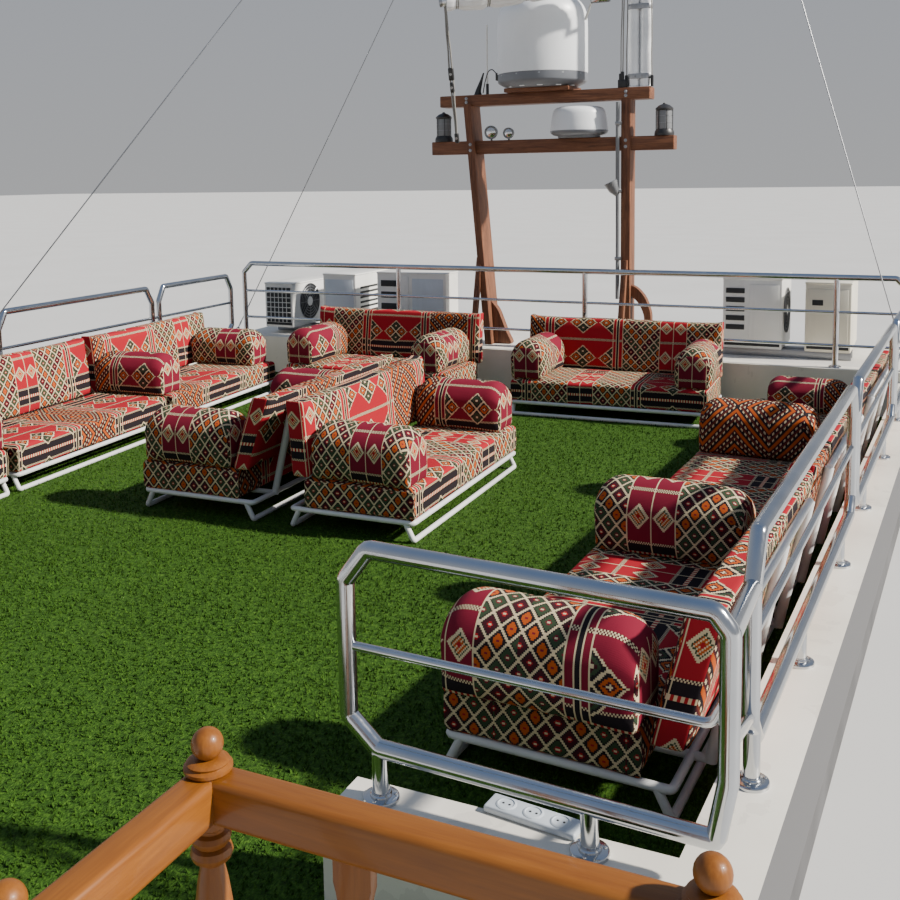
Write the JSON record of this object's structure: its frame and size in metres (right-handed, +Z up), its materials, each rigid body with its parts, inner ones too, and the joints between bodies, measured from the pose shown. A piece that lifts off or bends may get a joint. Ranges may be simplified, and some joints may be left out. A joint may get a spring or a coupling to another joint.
{
  "type": "upper deck of a dhow sailing boat",
  "caption": "Sun deck of a wooden dhow with turf floor, steel rails, woven majlis sofas, a timber gantry with domes, and a stayed mast with a swinging boom.",
  "frame": {"origin": "middle of the deck's footprint on its flat underside", "axes": "+X to starboard, +Y towards the bow, +Z up"},
  "size_m": [6.6782, 9.4, 7.6293],
  "materials": {
    "deck_timber": "oiled planks",
    "turf": "short artificial grass",
    "roof_white": "weathered white paint",
    "coaming_white": "white paint",
    "stainless_rail": "polished tube",
    "varnished_teak": "gloss varnish",
    "gantry_wood": "dark oiled timber",
    "dome_white": "smooth moulded",
    "spar": "anodised",
    "stay_wire": "stranded wire",
    "sailcloth": "woven cloth",
    "condenser_white": "satin coated sheet",
    "white_pipe": "satin white paint",
    "woven_cover": "flat woven wool with stripes and diamonds"
  },
  "bodies": {
    "deck": {"arm_bow_port_left": "woven_cover", "arm_bow_port_right": "woven_cover", "arm_bow_starboard_left": "woven_cover", "arm_bow_starboard_right": "woven_cover", "arm_centre_port_left": "woven_cover", "arm_centre_port_right": "woven_cover", "arm_centre_starboard_left": "woven_cover", "arm_centre_starboard_right": "woven_cover", "arm_port_aft_left": "woven_cover", "arm_port_aft_right": "woven_cover", "arm_port_forward_left": "woven_cover", "arm_port_forward_right": "woven_cover", "arm_starboard_aft_left": "woven_cover", "arm_starboard_aft_right": "woven_cover", "arm_starboard_forward_left": "woven_cover", "arm_starboard_forward_right": "woven_cover", "back_bow_port": "woven_cover", "back_bow_starboard": "woven_cover", "back_centre_port": "woven_cover", "back_centre_starboard": "woven_cover", "back_port_aft": "woven_cover", "back_port_forward": "woven_cover", "back_port_middle": "woven_cover", "back_starboard_aft": "woven_cover", "back_starboard_forward": "woven_cover", "back_starboard_middle": "woven_cover", "balustrade": "varnished_teak", "coaming_forward": "coaming_white", "coaming_port": "coaming_white", "coaming_starboard": "coaming_white", "condensers_port": "condenser_white", "condensers_starboard": "condenser_white", "deck_slab": "deck_timber", "forward_roof": "roof_white", "gantry": "gantry_wood", "main_stays": "stay_wire", "mast": "spar", "radar_dome": "dome_white", "rail_forward": "stainless_rail", "rail_port": "stainless_rail", "rail_starboard": "stainless_rail", "satellite_dome": "dome_white", "seat_bow_port": "woven_cover", "seat_bow_starboard": "woven_cover", "seat_centre_port": "woven_cover", "seat_centre_starboard": "woven_cover", "seat_port_aft": "woven_cover", "seat_port_forward": "woven_cover", "seat_port_middle": "woven_cover", "seat_starboard_aft": "woven_cover", "seat_starboard_forward": "woven_cover", "seat_starboard_middle": "woven_cover", "sofa_frame_bow_port": "white_pipe", "sofa_frame_bow_starboard": "white_pipe", "sofa_frame_centre": "white_pipe", "sofa_frame_port": "white_pipe", "sofa_frame_starboard": "white_pipe", "turf": "turf"},
    "boom": {"boom": "spar", "furled_sail": "sailcloth"}
  },
  "joints": [
    {"name": "boom_swing", "type": "hinge", "parent": "deck", "child": "boom", "pos_m": [0.881, 3.7, 3.79], "axis": [0, 0, 1], "range_deg": [0, 110]}
  ]
}
